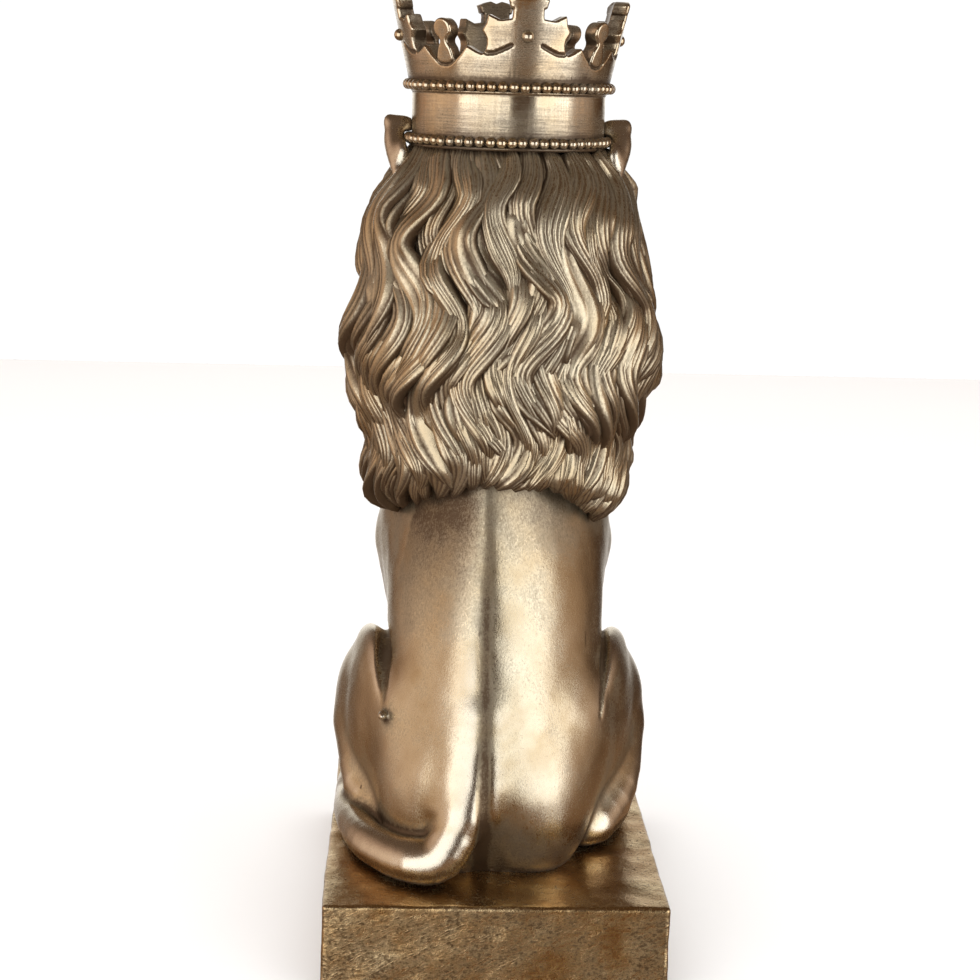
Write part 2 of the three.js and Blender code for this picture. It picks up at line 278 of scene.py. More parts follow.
def torso():
    def distance(x, y, z):
        row = stations(TORSO, "z", z)
        middle, deep = (row["front"] + row["back"]) / 2, (row["back"] - row["front"]) / 2
        aside = x - SPINE_ASIDE * np.clip((y - middle) / deep, 0, 1) ** 1.5
        behind = y > middle
        sharp = station(*BACK_POWER.values(), z) - 0.1 * np.tanh(aside / 6)  # one flank falls away sooner
        outside = ringed((aside, y), row["front"], row["back"], row["half"], np.where(behind, sharp, FRONT_POWER))
        deep, wide = (station(SPINE["z"], SPINE[name], z) for name in ("depth", "wide"))
        outside = outside + np.where(behind, deep * np.exp(-((aside / wide) ** 2)), 0)
        return np.maximum(outside, np.maximum(SEAT - 4 - z, z - 205)).astype(np.float32)

    return distance, np.array([-50, -54, SEAT - 4]), np.array([50, 76, 205])


def hind_leg(side):
    block.add(egg((side * 35.2 + 0.9, 8, 70), (18.6, 42, 37.5), (0, side * 9, side * 20)), 5)
    block.add(egg((side * 46.0 + 0.6, 3, 96.5), (7.0, 26, 15), (0, 0, side * 10)), 4)
    block.add(egg((side * 26 + 1, 33, 80), (13, 17, 24), (6, side * 8, side * 25)), 10)
    block.add(egg((side * 20 + 3, 38, 56), (19, 26, 31), (0, 0, side * 15)), 10)
    block.add(egg((side * 50, -20, 76), (11, 17, 20), (-20, 0, 0)), 9)
    block.add(limb([(side * 49, -14, 66), (side * 47, 8, 50), (side * 40, 25, 42)], [13, 11, 8.5], 6), 5)
    block.add(limb([(side * 36, 28, 40), (side * 46.5, 4, 40.5), (side * 48, -34, 40)], [7, 9.5, 9], 6), 4)
    for toe in (-1.5, -0.5, 0.5, 1.5):
        block.add(egg((side * 48 + toe * 5.2, -45 + abs(toe) * 2.2, 38.5), (3.4, 10, 6.6)), 1.6)


def fore_leg(side):
    block.add(egg((side * 29.5, -22, 148), (15.5, 23, 36), (8, 0, 0)), 12)
    path = [(side * 30, -28, 140), (side * 27, -38, 104), (side * 24, -47, 70), (side * 23.5, -51, 46)]
    path += [(side * 23.5, -54, 38)]
    block.add(limb(path, [17, 14, 11.5, 11, 12], 10), 6)
    block.add(egg((side * 31, -17, 118), (9, 12, 15), (20, 0, 0)), 7)
    for toe in (-1.5, -0.5, 0.5, 1.5):
        block.add(egg((side * 23.5 + toe * 6, -66 + abs(toe) * 2.6, 40), (4.0, 12.5, 8.4)), 1.6)


block.add(torso())
for side in (1, -1):
    hind_leg(side)
    fore_leg(side)
    cleft = [(side * 42.0, -4, 114), (side * 42.0, 12, 111), (side * 41.8 + 0.8, 24, 105)]
    cleft += [(side * 41.6 + 1.4, 32, 99), (side * 41.8 + 2.2, 37, 93.5), (side * 42.0 + 3.0, 40, 89)]
    narrow = 1.0 if side > 0 else 0.5  # the twist closes the other cleft
    block.carve(limb(cleft, [narrow * r for r in (3.0, 3.0, 2.8, 2.5, 1.8, 0.8)], 12), 1.6)
block.add(egg((42.4, 41.6, 88.5), (1.7, 2.6, 1.7)), 1.2)  # a drop that ran out of the cleft and set
block.add(limb([(6, 57, 92), (9, 61, 76), (12, 66, 60)], [6, 8, 8.5], 6), 9)
block.add(limb(TAIL_PATH, TAIL_RADII, 28), 2.2)
block.add(egg((54.6, -18, 39.4), (6.4, 13, 6.6)), 3)
crack = [(4.6, 72, 84), (4.4, 73.5, 72), (3.8, 72.5, 58), (1.4, 67, 46), (-2.4, 60, 33)]
block.carve(limb(crack, [0.3, 0.9, 1.5, 2.2, 3.0], 12), 4)
print("body in clay", block.field.shape)

# %% [markdown]
# ## Head, ears and the core of the mane
#
# The head is a row of upright outlines from the cheeks to the tip of the muzzle, with brows, pads, chin and nose
# melted on and the eyes, nostrils and mouth carved in. It is a lion of no particular make. The mane's core is a
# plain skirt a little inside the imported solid: its locks are laid over it later.

# %% Head
HEAD = {
    "y": [-75, -71, -63, -55, -48, -38, -20],
    "half": [8, 13.5, 16, 19, 26, 32, 34],
    "top": [268, 271, 276, 283, 293, 298, 300],
    "chin": [254, 248, 243, 242, 241, 239, 236],
}
MANE = {
    "z": [112, 135, 158, 168, 178, 192, 202, 210, 224, 240, 256, 270, 281, 289, 297],
    "back": [44, 44, 46, 48, 50, 50.5, 51, 52, 52, 51.5, 50, 48, 45, 42, 38.5],
    "front": [-47, -57, -60, -60, -59, -57, -54, -52, -50, -48, -46, -44, -42, -39, -34],
    "half": [11, 28, 42.5, 48.5, 50.5, 49, 52, 55.5, 57.5, 55, 51.5, 49.5, 46, 41.5, 37.5],
}
MANE_TOP = CROWN_LOW[2] - 0.4
BACK_EDGE, SIDE_EDGE, CHEST_EDGE = 179, 157, 113  # heights of the mane's lower edge
CROWN_MIDDLE = (CROWN_LOW[:2] + CROWN_HIGH[:2]) / 2
SCALP_TOP = 309.0
BAND_INSIDE, BAND_OUTSIDE, BEADS_OUTSIDE = 29.4, 35.7, 38.9  # radii that the crown takes


def mane_edge(angle):
    """The height of the mane's lower edge at an angle about Z."""
    s = np.sin(angle)
    behind = SIDE_EDGE + (BACK_EDGE - SIDE_EDGE) * s**2
    before = SIDE_EDGE + (CHEST_EDGE - SIDE_EDGE) * np.abs(s) ** 3
    return np.where(s > 0, behind, before)


def head():
    def distance(x, y, z):
        row = stations(HEAD, "y", y)
        outside = ringed((x, z), row["chin"], row["top"], row["half"], 2.4)
        return np.maximum(outside, np.maximum(-75 - y, y + 20)).astype(np.float32)

    return distance, np.array([-36, -76, 234]), np.array([36, -18, 302])


def mane_core(inset, raised):
    def distance(x, y, z):
        row = stations(MANE, "z", z)
        outside = ringed((x, y), row["front"] + inset, row["back"] - inset, row["half"] - inset, 2.0)
        below = mane_edge(np.arctan2(y, x)) + raised - z
        return np.maximum(outside, np.maximum(below, z - MANE_TOP)).astype(np.float32)

    return distance, np.array([-62, -66, 108]), np.array([62, 56, MANE_TOP])


def round_slab(radius, low, high):
    """A round slab about the crown's axis."""

    def distance(x, y, z):
        outside = np.hypot(x - CROWN_MIDDLE[0], y - CROWN_MIDDLE[1]) - radius
        return np.maximum(outside, np.maximum(low - z, z - high)).astype(np.float32)

    middle = np.array([*CROWN_MIDDLE, (low + high) / 2])
    reach = np.array([radius, radius, (high - low) / 2])
    return distance, middle - reach, middle + reach


def ear(side):
    path = [(side * 41.0, -0.5, 303), (side * 41.0, 3, 297.5), (side * 40.0, 10, 290), (side * 39.6, 16, 283)]
    block.add(limb(path, [4.5, 4.9, 3.5, 1.3], 10), 2)
    block.add(egg((side * 43.2, -1, 304.2), (2.6, 2.8, 3.6), (0, side * 24, 0)), 2)
    block.add(egg((side * 38.0, 0.5, 303.4), (4.4, 3.4, 3.8)), 2)
    block.add(egg((side * 38.4, 9, 293.5), (3.6, 5, 6)), 2)
    block.carve(egg((side * 41.6, -7.2, 298.6), (4.4, 5, 8), (0, side * 4, 0)), 1.4)


def face():
    for side in (1, -1):
        block.add(egg((side * 7.5, -65, 257), (10.5, 11.5, 8.5), (0, 0, side * 10)), 3)
        block.add(egg((side * 13.0, -50.4, 285.4), (11.5, 7.4, 4.4), (0, side * -8, side * 20)), 4)
        block.carve(egg((side * 15, -58, 277.8), (7.2, 6, 4.6), (0, side * -6, side * 15)), 3)
        block.add(egg((side * 14.6, -53.2, 277.5), (5.2, 4.6, 4.2)), 1)
        lid = [(side * 8.5, -57.5, 275.5), (side * 13.5, -58, 281), (side * 20.5, -52.5, 277.5)]
        block.add(limb(lid, [1.3, 1.6, 1.2], 8), 1.5)
        lower_lid = [(side * 8.5, -57.5, 275), (side * 14, -57.2, 273.2), (side * 20.5, -52.5, 277)]
        block.add(limb(lower_lid, [1.1, 1.3, 1.1], 8), 1.5)
        block.carve(egg((side * 4.4, -78.5, 266.5), (1.7, 3, 1.5), (0, side * 25, 0)), 1)
        lip = [(0, -76.5, 256.5), (side * 5, -76, 250.5), (side * 12, -70, 249.5), (side * 18, -60, 253)]
        block.carve(limb(lip, [1, 1.2, 1.2, 0.8], 12), 1.2)
        for row in range(3):
            for spot in range(4):
                place = (side * (6 + 3.2 * spot), -76.2 + 0.35 * spot**2, 260 - 2.6 * row)
                block.carve(egg(place, (0.6, 1.2, 0.6)), 0.5)
    block.add(egg((0, -74.5, 267.5), (7.4, 4.6, 4.2)), 1.5)
    block.add(egg((0, -61, 246), (11, 11, 8)), 3)
    block.carve(limb([(0, -78.5, 265), (0, -77.5, 257)], [0.8, 0.9], 3), 1.2)
    block.carve(limb([(0, -53.5, 294), (0, -58.5, 284)], [1.2, 0.8], 3), 4)


block.add(mane_core(4.5, 7), 1.5)
block.add(head(), 4)
face()
for side in (1, -1):
    ear(side)
for radius, top in ((BEADS_OUTSIDE - 0.6, CROWN_LOW[2] + 4.9), (BAND_OUTSIDE - 0.4, LION_HIGH[2] + 4)):
    block.carve(round_slab(radius, CROWN_LOW[2] - 0.3, top), 1.0)  # room for the crown
block.add(round_slab(BAND_INSIDE - 0.4, 280, SCALP_TOP))
block.carve(egg((0, 0, SEAT - 20), (200, 200, 20)))  # a flat seat
print("head in clay")


# %% [markdown]
# ## From clay to mesh
#
# The surface comes off the block as even squares. They are thinned where it is flat, which keeps the face and the
# paws crisp for the same number of faces. Each point also keeps how hollow the surface is there, by how far it lies
# under the average of its neighbours. The patina reads that number: it gathers in hollows and is rubbed off ridges.

# %% Meshes
def mesh_object(name, points_mm, faces):
    """A smooth-shaded object from points in millimetres and a list or array of faces."""
    mesh = bpy.data.meshes.new(name)
    faces = faces.tolist() if isinstance(faces, np.ndarray) else faces
    mesh.from_pydata((np.asarray(points_mm, float) * MM).tolist(), [], faces)
    mesh.validate()
    mesh.shade_smooth()
    made = bpy.data.objects.new(name, mesh)
    bpy.context.scene.collection.objects.link(made)
    return made


def thin(piece, triangles):
    """Thins a mesh to about this many triangles."""
    sides = sum(len(face.vertices) - 2 for face in piece.data.polygons)
    if sides <= triangles:
        return
    piece.modifiers.new("thin", "DECIMATE").ratio = triangles / sides
    mesh = bpy.data.meshes.new_from_object(piece.evaluated_get(bpy.context.evaluated_depsgraph_get()))
    piece.modifiers.clear()
    piece.data = mesh
    mesh.shade_smooth()


def read(rows, name, wide):
    """A property of all of a mesh's vertices or values, as rows of this many numbers."""
    flat = np.empty(len(rows) * wide)
    rows.foreach_get(name, flat)
    return flat.reshape(-1, wide)


def points_of(mesh):
    return read(mesh.vertices, "co", 3) / MM


def set_points(mesh, points_mm):
    mesh.vertices.foreach_set("co", (points_mm * MM).ravel())
    mesh.update()


def keep_hollow(mesh, values):
    """Stores each point's hollowness, from 0 on a ridge to 1 in a groove, for the patina, with any painted shade
    added to it.
    """
    layer = mesh.attributes.get("hollow") or mesh.attributes.new("hollow", "FLOAT", "POINT")
    layer.data.foreach_set("value", np.clip(values, 0, 1).astype(np.float32))


def hollow_of(mesh):
    return read(mesh.attributes["hollow"].data, "value", 1)[:, 0]


def measure_hollow(piece, clay, rounds, full):
    """Hollowness from the clay: how far its blurred field falls below the field, full millimetres counting as 1."""
    soft = clay.field.copy()
    for _ in range(rounds):
        for axis in range(3):
            soft = (np.roll(soft, 1, axis) + soft + np.roll(soft, -1, axis)) / 3
    cells = np.round((points_of(piece.data) - clay.low) / clay.step).astype(int)
    cells = tuple(np.clip(cells, 0, clay.count - 1).T)
    keep_hollow(piece.data, 0.3 + 0.7 * (clay.field[cells] - soft[cells]) / full)


def uneven(piece, parts):
    """Moves points in and out by soft noise: parts is a list of (size of a wave, height), in millimetres."""
    mesh = piece.data
    points, normals = points_of(mesh), read(mesh.vertex_normals, "vector", 3)
    lift = np.zeros(len(points))
    for size, height in parts:
        lift += height * np.array([noise.noise(Vector(p / size)) for p in points])
    set_points(mesh, points + normals * lift[:, None])


body_points, body_faces = block.surface()
lion = mesh_object("lion_body", body_points, body_faces)
thin(lion, 170_000)
measure_hollow(lion, block, 6, 0.5)

# Painted shade is added to the patina down the furrow of the spine, and under the mane's edge, where it reaches lower
# and is darker on the +X side of the spine. The glaze is wiped off the ears.
x, y, z = points_of(lion.data).T
in_furrow = np.exp(-(((x - SPINE_ASIDE + 1) / 2.3) ** 2)) * (y > 30) * np.clip((172 - z) / 40, 0, 1)
past_spine = np.clip((x - SPINE_ASIDE) / 3, 0, 1) * (y > 20)
painted_shade_under_mane = np.clip((z - 122 + 14 * past_spine) / 56, 0, 1) ** 1.3 * (z < 185)
on_ear = (z > 289) * (np.abs(x) > 35)
patina_and_painted_shade = 0.75 * in_furrow + (0.5 + 0.25 * past_spine) * painted_shade_under_mane
keep_hollow(lion.data, hollow_of(lion.data) * (1 - 0.6 * on_ear) + patina_and_painted_shade)
uneven(lion, [(24.0, 0.5), (8.0, 0.16)])
print("lion_body", len(lion.data.polygons), "faces")

# %% [markdown]
# ## Locks of the mane
#
# The mane is what the eye goes to: bundles of strands that swing from side to side on their way down, and that also
# rise and sink, so rows of highlights run across it. Displacing a skin gives grooves but no overlap, and hair
# particles don't export. So each lock is swept along its own path on the mane's core, as a tapering bundle with a few
# uneven strands side by side. Its points run along the strands, so the ridges stay crisp with few faces. Neighbours
# swing nearly alike, which nests them; where they don't, they pinch together and fan out again.

# %% Paths over the mane
random = np.random.default_rng(11)
SWING_LENGTH = 52.0  # millimetres from one bend to the next alike
RISE_LENGTH, RISE_HIGH = 34.0, 1.1  # millimetres: the rise and fall along a lock


def jitter(spread):
    return random.uniform(-spread, spread)


def on_mane(angle, z, lift):
    """A point of the mane's skin at an angle about Z and a height, lifted off it by some millimetres."""
    back, front, half = (station(MANE["z"], MANE[name], z) for name in ("back", "front", "half"))
    middle, deep = (back + front) / 2, (back - front) / 2
    reach = 1 / np.sqrt((np.cos(angle) / half) ** 2 + (np.sin(angle) / deep) ** 2) + lift
    return np.stack([reach * np.cos(angle), middle + reach * np.sin(angle), z], -1)


def unit(rows):
    return rows / np.maximum(np.linalg.norm(rows, axis=-1, keepdims=True), 1e-9)


def swing(angle):
    """Where in its swing a lock is at the top, which changes slowly round the mane."""
    off_back = math.degrees(angle) % 360 - 90
    return 0.8 + 1.6 * math.exp(-((off_back / 22) ** 2)) + 0.6 * math.sin(3 * angle + 1.0)


HOLLOWS = [(50, 261, 6, 13, 4.2), (140, 250, 6, 12, 4.0), (118, 228, 6, 9, 2.6), (74, 236, 6, 10, 2.2)]
HOLLOWS += [(100, 268, 5, 10, 2.0), (96, 205, 5, 8, 1.8), (230, 225, 8, 12, 2.5), (310, 235, 8, 12, 2.5)]
BULGES = [(20, 226, 13, 16, 1.5), (160, 226, 13, 16, 1.5), (35, 275, 10, 10, 1.4), (140, 274, 12, 9, 1.6)]
BULGES += [(88, 190, 16, 9, 1.0), (125, 205, 10, 10, 1.2), (62, 215, 9, 12, 1.2)]


def relief(angle, z):
    """The large dents and swellings of the mane: (degrees, height, half width and half height in mm, depth)."""
    total = np.zeros_like(z)
    for sign, spots in ((-1, HOLLOWS), (1, BULGES)):
        for turn, height, wide, tall, high in spots:
            away = (np.degrees(angle) - turn + 180) % 360 - 180
            total += sign * high * np.exp(-((np.radians(away) * 48 / wide) ** 2) - ((z - height) / tall) ** 2)
    return total


# %% Sweeping a lock
STRAND_POINTS = 3
LOCK_STEP = 2.8  # millimetres between the rows of a lock


def strand_edges(strands, t):
    """Where each strand begins across the lock, from -1 to 1, for each row: they drift along the lock."""
    widths = random.uniform(0.4, 1.7, strands)
    edges = np.concatenate([[0], np.cumsum(widths)]) / widths.sum() * 2 - 1
    drift = np.array([0.5 * np.sin(2 * np.pi * (random.uniform(0.5, 1.3) * t + random.uniform())) for _ in edges])
    return edges[None] + drift.T * (1 - edges[None] ** 2) / strands


def groove_depth(t):
    """How deep the grooves beside a strand are, row by row: they come and go along it."""
    least = random.uniform(0.15, 0.6)
    return least + 0.6 * np.sin(np.pi * (random.uniform(0.6, 2.2) * t + random.uniform())) ** 2


def lock(angle, top, bottom, width, strands, sway, curl, lifts, height, dive, blunt=0.8):
    """Points, faces and hollowness of one lock: its end is broad with blunt under 0.5, and pointed above it."""
    steps = max(9, int((top - bottom) / LOCK_STEP))
    t = np.linspace(0, 1, steps)
    z = top + (bottom - top) * t
    fallen = MANE_TOP - z
    free = np.clip((fallen - 1) / 15, 0, 1) ** 0.8
    phase = swing(angle) + jitter(0.6)
    swung = 2 * np.pi * fallen / SWING_LENGTH + phase
    aside = sway * free * np.sin(swung) + curl * np.clip((t - 0.7) / 0.3, 0, 1) ** 2
    angles = angle + aside / np.linalg.norm(on_mane(np.full(steps, angle), z, 0)[:, :2] - [0, 2], axis=1)
    rise = RISE_HIGH * random.uniform(0.6, 1.2) * free
    rise = rise * np.sin(2 * np.pi * fallen / RISE_LENGTH + 2 * phase + jitter(0.6))
    lift = lifts[0] + (lifts[1] - lifts[0]) * np.sin(np.pi / 2 * np.clip(t / 0.35, 0, 1))
    lift = lift + rise + relief(angles, z) - dive * np.clip((t - 0.82) / 0.18, 0, 1) ** 2
    middle = on_mane(angles, z, lift)
    outward = on_mane(angles, z, lift + 1) - middle
    along = unit(np.gradient(middle, axis=0))
    across = unit(np.cross(along, outward))
    outward = np.cross(across, along)
    taper = np.minimum(1, 0.55 + 2.4 * t) * np.clip(1 - ((t - 0.56) / 0.45).clip(0) ** 2, 0.003, 1) ** blunt
    edges = strand_edges(strands, t)
    place = (np.arange(strands * STRAND_POINTS + 1) / STRAND_POINTS)[None]
    index = np.minimum(place.astype(int), strands - 1)
    within = place - index
    first, last = edges[:, index[0]], edges[:, index[0] + 1]
    ridge = first + (last - first) * within
    crest = 1 - np.abs(2 * within - 1) ** 2.1
    cut = np.array([groove_depth(t) for _ in range(strands)]).T[:, index[0]]
    half_width = (width / 2 * taper * (1 + 0.15 * np.sin(2 * np.pi * 1.6 * t + phase * 3)))[:, None]
    strand_high = np.minimum(0.34 * (last - first) * half_width, 1.4) * cut
    dome = (1 - (np.abs(ridge) * 0.985) ** 2.4) ** 0.6
    # A lock turns over as it swings, so its two sides catch the light in turn.
    twist = random.uniform(0.25, 0.6) * np.sin(swung + 1.2 + jitter(0.8)) + jitter(0.15)
    tipped = twist[:, None] * ridge * half_width
    profile = height * (0.3 + 0.7 * taper)[:, None] * dome + strand_high * crest + tipped
    rows = middle[:, None] + (ridge * half_width)[..., None] * across[:, None] + profile[..., None] * outward[:, None]
    under = [middle + side * 0.9 * half_width * across - 2.0 * outward for side in (1, -1)]
    points = np.concatenate([rows, np.stack(under, 1)], 1)
    hollow = np.clip(0.24 + 1.3 * (1 - crest) * cut + 0.6 * np.abs(ridge) ** 6, 0, 1)
    hollow = np.concatenate([hollow, np.ones((steps, 2))], 1)
    ring = points.shape[1]
    faces = [
        (i * ring + j, i * ring + (j + 1) % ring, (i + 1) * ring + (j + 1) % ring, (i + 1) * ring + j)
        for i in range(steps - 1)
        for j in range(ring)
    ]
    faces.append(tuple(range(ring - 1, -1, -1)))
    faces.append(tuple(range((steps - 1) * ring, steps * ring)))
    return points.reshape(-1, 3), faces, hollow.ravel()


class Bundle:
    """Collects the points and faces of many shapes into one mesh."""

    def __init__(self):
        self.points, self.faces, self.hollow, self.count = [], [], [], 0

    def take(self, points, faces, hollow):
        self.faces += [tuple(i + self.count for i in face) for face in faces]
        self.points.append(points)
        self.hollow.append(hollow)
        self.count += len(points)

    def piece(self, name):
        made = mesh_object(name, np.vstack(self.points), self.faces)
        keep_hollow(made.data, np.concatenate(self.hollow))
        print(name, sum(len(face.vertices) - 2 for face in made.data.polygons), "triangles")
        return made


# %% Tiers of locks
mane_locks, beard_locks = Bundle(), Bundle()
FRONT = -math.pi / 2


def from_front(angle):
    """How far an angle lies from the front, in degrees."""
    return abs(math.degrees((angle - FRONT + math.pi) % (2 * math.pi) - math.pi))


def hem(angle, more=0.0):
    return float(mane_edge(angle)) + more


FACE_GAP = 36  # degrees to each side of the front that are left open for the face


def tier(count, top, bottom, width, lifts, height, strands, turn, sway, dive, spread, blunt=0.8):
    """A ring of locks round the mane: top and bottom give the height of their ends at an angle.

    lifts are how far a lock's middle stands off the mane at its top and further down, and strands their least number
    and one above the most. turn shifts the ring by a share of a lock. sway, dive and spread are millimetres: the
    swing to each side, how far the tip tucks in, and how uneven the ends are.
    """
    for i in range(count):
        angle = 2 * math.pi * (i + turn + jitter(0.25)) / count
        wide, number = width * random.uniform(0.8, 1.25), int(random.integers(*strands))
        first = min(top(angle) + jitter(spread), MANE_TOP)
        last = bottom(angle) + jitter(spread)
        if from_front(angle) < FACE_GAP:
            continue
        curl, tall = jitter(4), height * random.uniform(0.8, 1.25)
        over = (lifts[0], lifts[1] + jitter(0.9))
        made = lock(angle, first, last, wide, number, sway + jitter(2), curl, over, tall, dive, blunt)
        (beard_locks if from_front(angle) < 75 else mane_locks).take(*made)


UP_TO_CROWN = 400  # above the mane's top, where every lock is cut off
TIERS = [  # two make the lower edge, a wide one fills in behind them, and three loose ones lie on top
    (56, lambda a: hem(a, 40), lambda a: hem(a, -1.5), 10, (-4.8, -2.3), 2.1, (4, 8), 0.3, 4, 2, 1.2, 0.4),
    (42, lambda a: hem(a, 62), lambda a: hem(a, 0.5), 11, (-4.8, -1.8), 2.4, (4, 9), 0.8, 4.5, 2, 2, 0.5),
    (26, lambda a: UP_TO_CROWN, lambda a: hem(a, 5), 17, (-4.4, -3.9), 2.6, (6, 12), 0, 5.5, 2, 3, 0.5),
    (26, lambda a: 268, lambda a: hem(a, 22), 12, (-6.2, -1.9), 3.0, (4, 10), 0.6, 6, 3, 14),
    (27, lambda a: UP_TO_CROWN, lambda a: 230, 12.5, (-3.6, -1.5), 3.0, (4, 10), 0.45, 5.5, 3, 16),
    (24, lambda a: 250, lambda a: hem(a, 12), 10.5, (-6.2, -1.1), 2.8, (4, 9), 0.15, 6, 3, 12),
]
for row in TIERS:
    tier(*row)

# %% Locks of the chest and round the face
for row, (top, more, lift) in enumerate([(186, 0, -1.6), (214, 26, -1.2), (246, 58, -0.6)]):
    for i in range(9):
        angle = FRONT + math.radians((i - 4 + 0.5 * (row % 2)) * 8.2 + jitter(2))
        last = hem(angle, more - 2) + jitter(4)
        made = lock(angle, top + jitter(4), last, 12, 4, 5, jitter(3), (-4.5, lift), 2.8, 3)
        beard_locks.take(*made)
for side in (1, -1):
    for i in range(5):
        angle = FRONT + side * math.radians(31 + 4.5 * i)
        made = lock(angle, MANE_TOP, 228 - 5 * i, 10, 4, 4, side * 4, (-1.5, 0.8), 2.8, 2)
        beard_locks.take(*made)

mane = mane_locks.piece("lion_mane")
beard = beard_locks.piece("lion_beard")

# %% [markdown]
# ## The crown
#
# The crown is one casting: a band between two strings of beads, and above it a flared wall that ends in four crosses
# and four fleurs-de-lis. The wall is thick, so its cut edges show as broad flat faces. It is again made as a distance
# field, because the outline is easiest to state on the unrolled wall, as distance round and height. The field then
# keeps even wall thickness round the bend, and its edges come out slightly rounded, as cast ones are.

# %% Outline of the unrolled wall
CROWN_TURN = math.radians(6)
CROWN_STEP = 0.4
TRUE_RADIUS = 40.0  # where the unrolled outline keeps its size
WALL = 6.2
BAND_RADIUS, RIM_RADIUS = 35.6, (CROWN_HIGH[0] - CROWN_LOW[0]) / 2 + 0.6
BEAD_RADIUS = 1.9
LOWER_BEADS, UPPER_BEADS = CROWN_LOW[2] + 3.0, CROWN_LOW[2] + 22.3
CREST = CROWN_HIGH[2] - UPPER_BEADS
LILY = math.pi / 4 * TRUE_RADIUS


def inside_polygon_distance(u, h, corners):
    """The distance from points to a closed outline, less than 0 inside it."""
    corners = np.array(corners, np.float32)
    best = np.full(np.broadcast(u, h).shape, 1e9, np.float32)
    inside = np.zeros(best.shape, bool)
    for a, b in zip(corners, np.roll(corners, -1, 0)):
        best = np.minimum(best, off_line((u, h), a, b)[0])
        if a[1] != b[1]:
            crosses = ((a[1] > h) != (b[1] > h)) & (u < (b[0] - a[0]) * (h - a[1]) / (b[1] - a[1]) + a[0])
            inside ^= crosses
    return np.where(inside, -best, best)


def arc(middle, radius, first, last, count):
    """Points on an arc, its ends in degrees."""
    turns = np.radians(np.linspace(first, last, count))
    return [(middle[0] + radius * math.cos(t), middle[1] + radius * math.sin(t)) for t in turns]


CROWN_HALF_OUTLINE = [
    (-2, -30), (-2, CREST - 0.9), (0, CREST - 0.9), (2.2, CREST), (4.6, CREST - 0.6), (6.9, CREST - 1.6),
    (6.2, CREST - 4.6), (5.3, 26.5), (5.5, 23.4), (9.5, 22.9), (13.6, 24.8), (14.4, 21.6), (16.0, 19.2),
    (14.5, 16.4), (14.4, 14.6), (15.2, 11.9), (16.3, 11.3), (18.6, 12.2), (21.9, 14.0), (24.6, 11.0),
    (27.3, 8.8), (27.9, 11.2), (28.6, 13.2), (29.8, 15.0), (29.6, 16.0),
    *arc((LILY, 19.5), 3.8, 235, 90, 9),
    (LILY + 2, 23.3), (LILY + 2, -30),
]  # from the middle of a cross to the middle of the next fleur-de-lis

crown_block = Clay([*(CROWN_LOW[:2] - 4), CROWN_LOW[2] - 2], [*(CROWN_HIGH[:2] + 4), CROWN_HIGH[2] + 2], CROWN_STEP)
_, (x, y, z) = crown_block.window(CROWN_LOW - 9, CROWN_HIGH + 9)
radius = np.hypot(x - CROWN_MIDDLE[0], y - CROWN_MIDDLE[1])
bearing = np.arctan2(x - CROWN_MIDDLE[0], y - CROWN_MIDDLE[1]) + CROWN_TURN
quarter = (bearing + math.pi / 4) % (math.pi / 2) - math.pi / 4
round_way = quarter * TRUE_RADIUS  # distance round the wall from the middle of the nearest cross
above = z - UPPER_BEADS
slope = (RIM_RADIUS - BAND_RADIUS - 1) / CREST
outer = np.where(above > 0, BAND_RADIUS + 1 + slope * above, BAND_RADIUS)
wall = np.maximum(radius - outer, outer - WALL - radius)
outline = inside_polygon_distance(np.abs(round_way), above, CROWN_HALF_OUTLINE)
field = -soft_min(-wall, -outline, 1.2)
field = np.maximum(field, CROWN_LOW[2] - z)


def moulding(height, out, thick):
    """A round rim that runs about the crown."""
    return np.hypot(radius - out, z - height) - thick


def hook(points, thick):
    """A groove drawn on the unrolled wall, on both sides of each cross."""
    gone = np.full(np.broadcast(round_way, above).shape, 1e9, np.float32)
    for a, b in zip(points, points[1:]):
        gone = np.minimum(gone, off_line((np.abs(round_way), above), a, b)[0])
    return np.hypot(gone, radius - outer) - thick


field = soft_min(field, moulding(CROWN_LOW[2] + 0.8, BAND_RADIUS + 0.2, 0.8), 0.4)
field = soft_min(field, moulding(UPPER_BEADS - BEAD_RADIUS, BAND_RADIUS + 0.1, 0.5), 0.4)
field = soft_min(field, moulding(UPPER_BEADS + BEAD_RADIUS, BAND_RADIUS + 1.0, 0.5), 0.4)
hook_line = [(5.6, 14.2), (8.5, 12.8), (11.5, 11.6), (14.4, 11.4)]
field = -soft_min(-field, hook(hook_line, 0.75), 0.3)
lily_line = [(27.4, 8.8), (29.0, 7.6), (LILY + 0.2, 7.2)]
field = -soft_min(-field, hook(lily_line, 0.6), 0.3)
crown_block.field = np.clip(field, -FAR, FAR).astype(np.float32)
crown_points, crown_faces = crown_block.surface()
print("crown wall", len(crown_faces), "faces")


# %% Beads and bosses
def ball(middle, size, around=10, up=6):
    """Points and faces of a small ball in millimetres."""
    tilts, turns = np.pi * (np.arange(1, up) / up - 0.5), 2 * np.pi * np.arange(around) / around
    rings = [(math.cos(a) * math.cos(b), math.cos(a) * math.sin(b), math.sin(a)) for a in tilts for b in turns]
    points = np.array(middle) + size * np.array([(0, 0, -1), *rings, (0, 0, 1)])
    faces = []
    for j in range(around):
        k = (j + 1) % around
        faces.append((0, 1 + k, 1 + j))
        for i in range(up - 2):
            a = 1 + i * around
            faces.append((a + j, a + k, a + around + k, a + around + j))
        last = 1 + (up - 2) * around
        faces.append((last + j, last + k, len(points) - 1))
    return points, faces


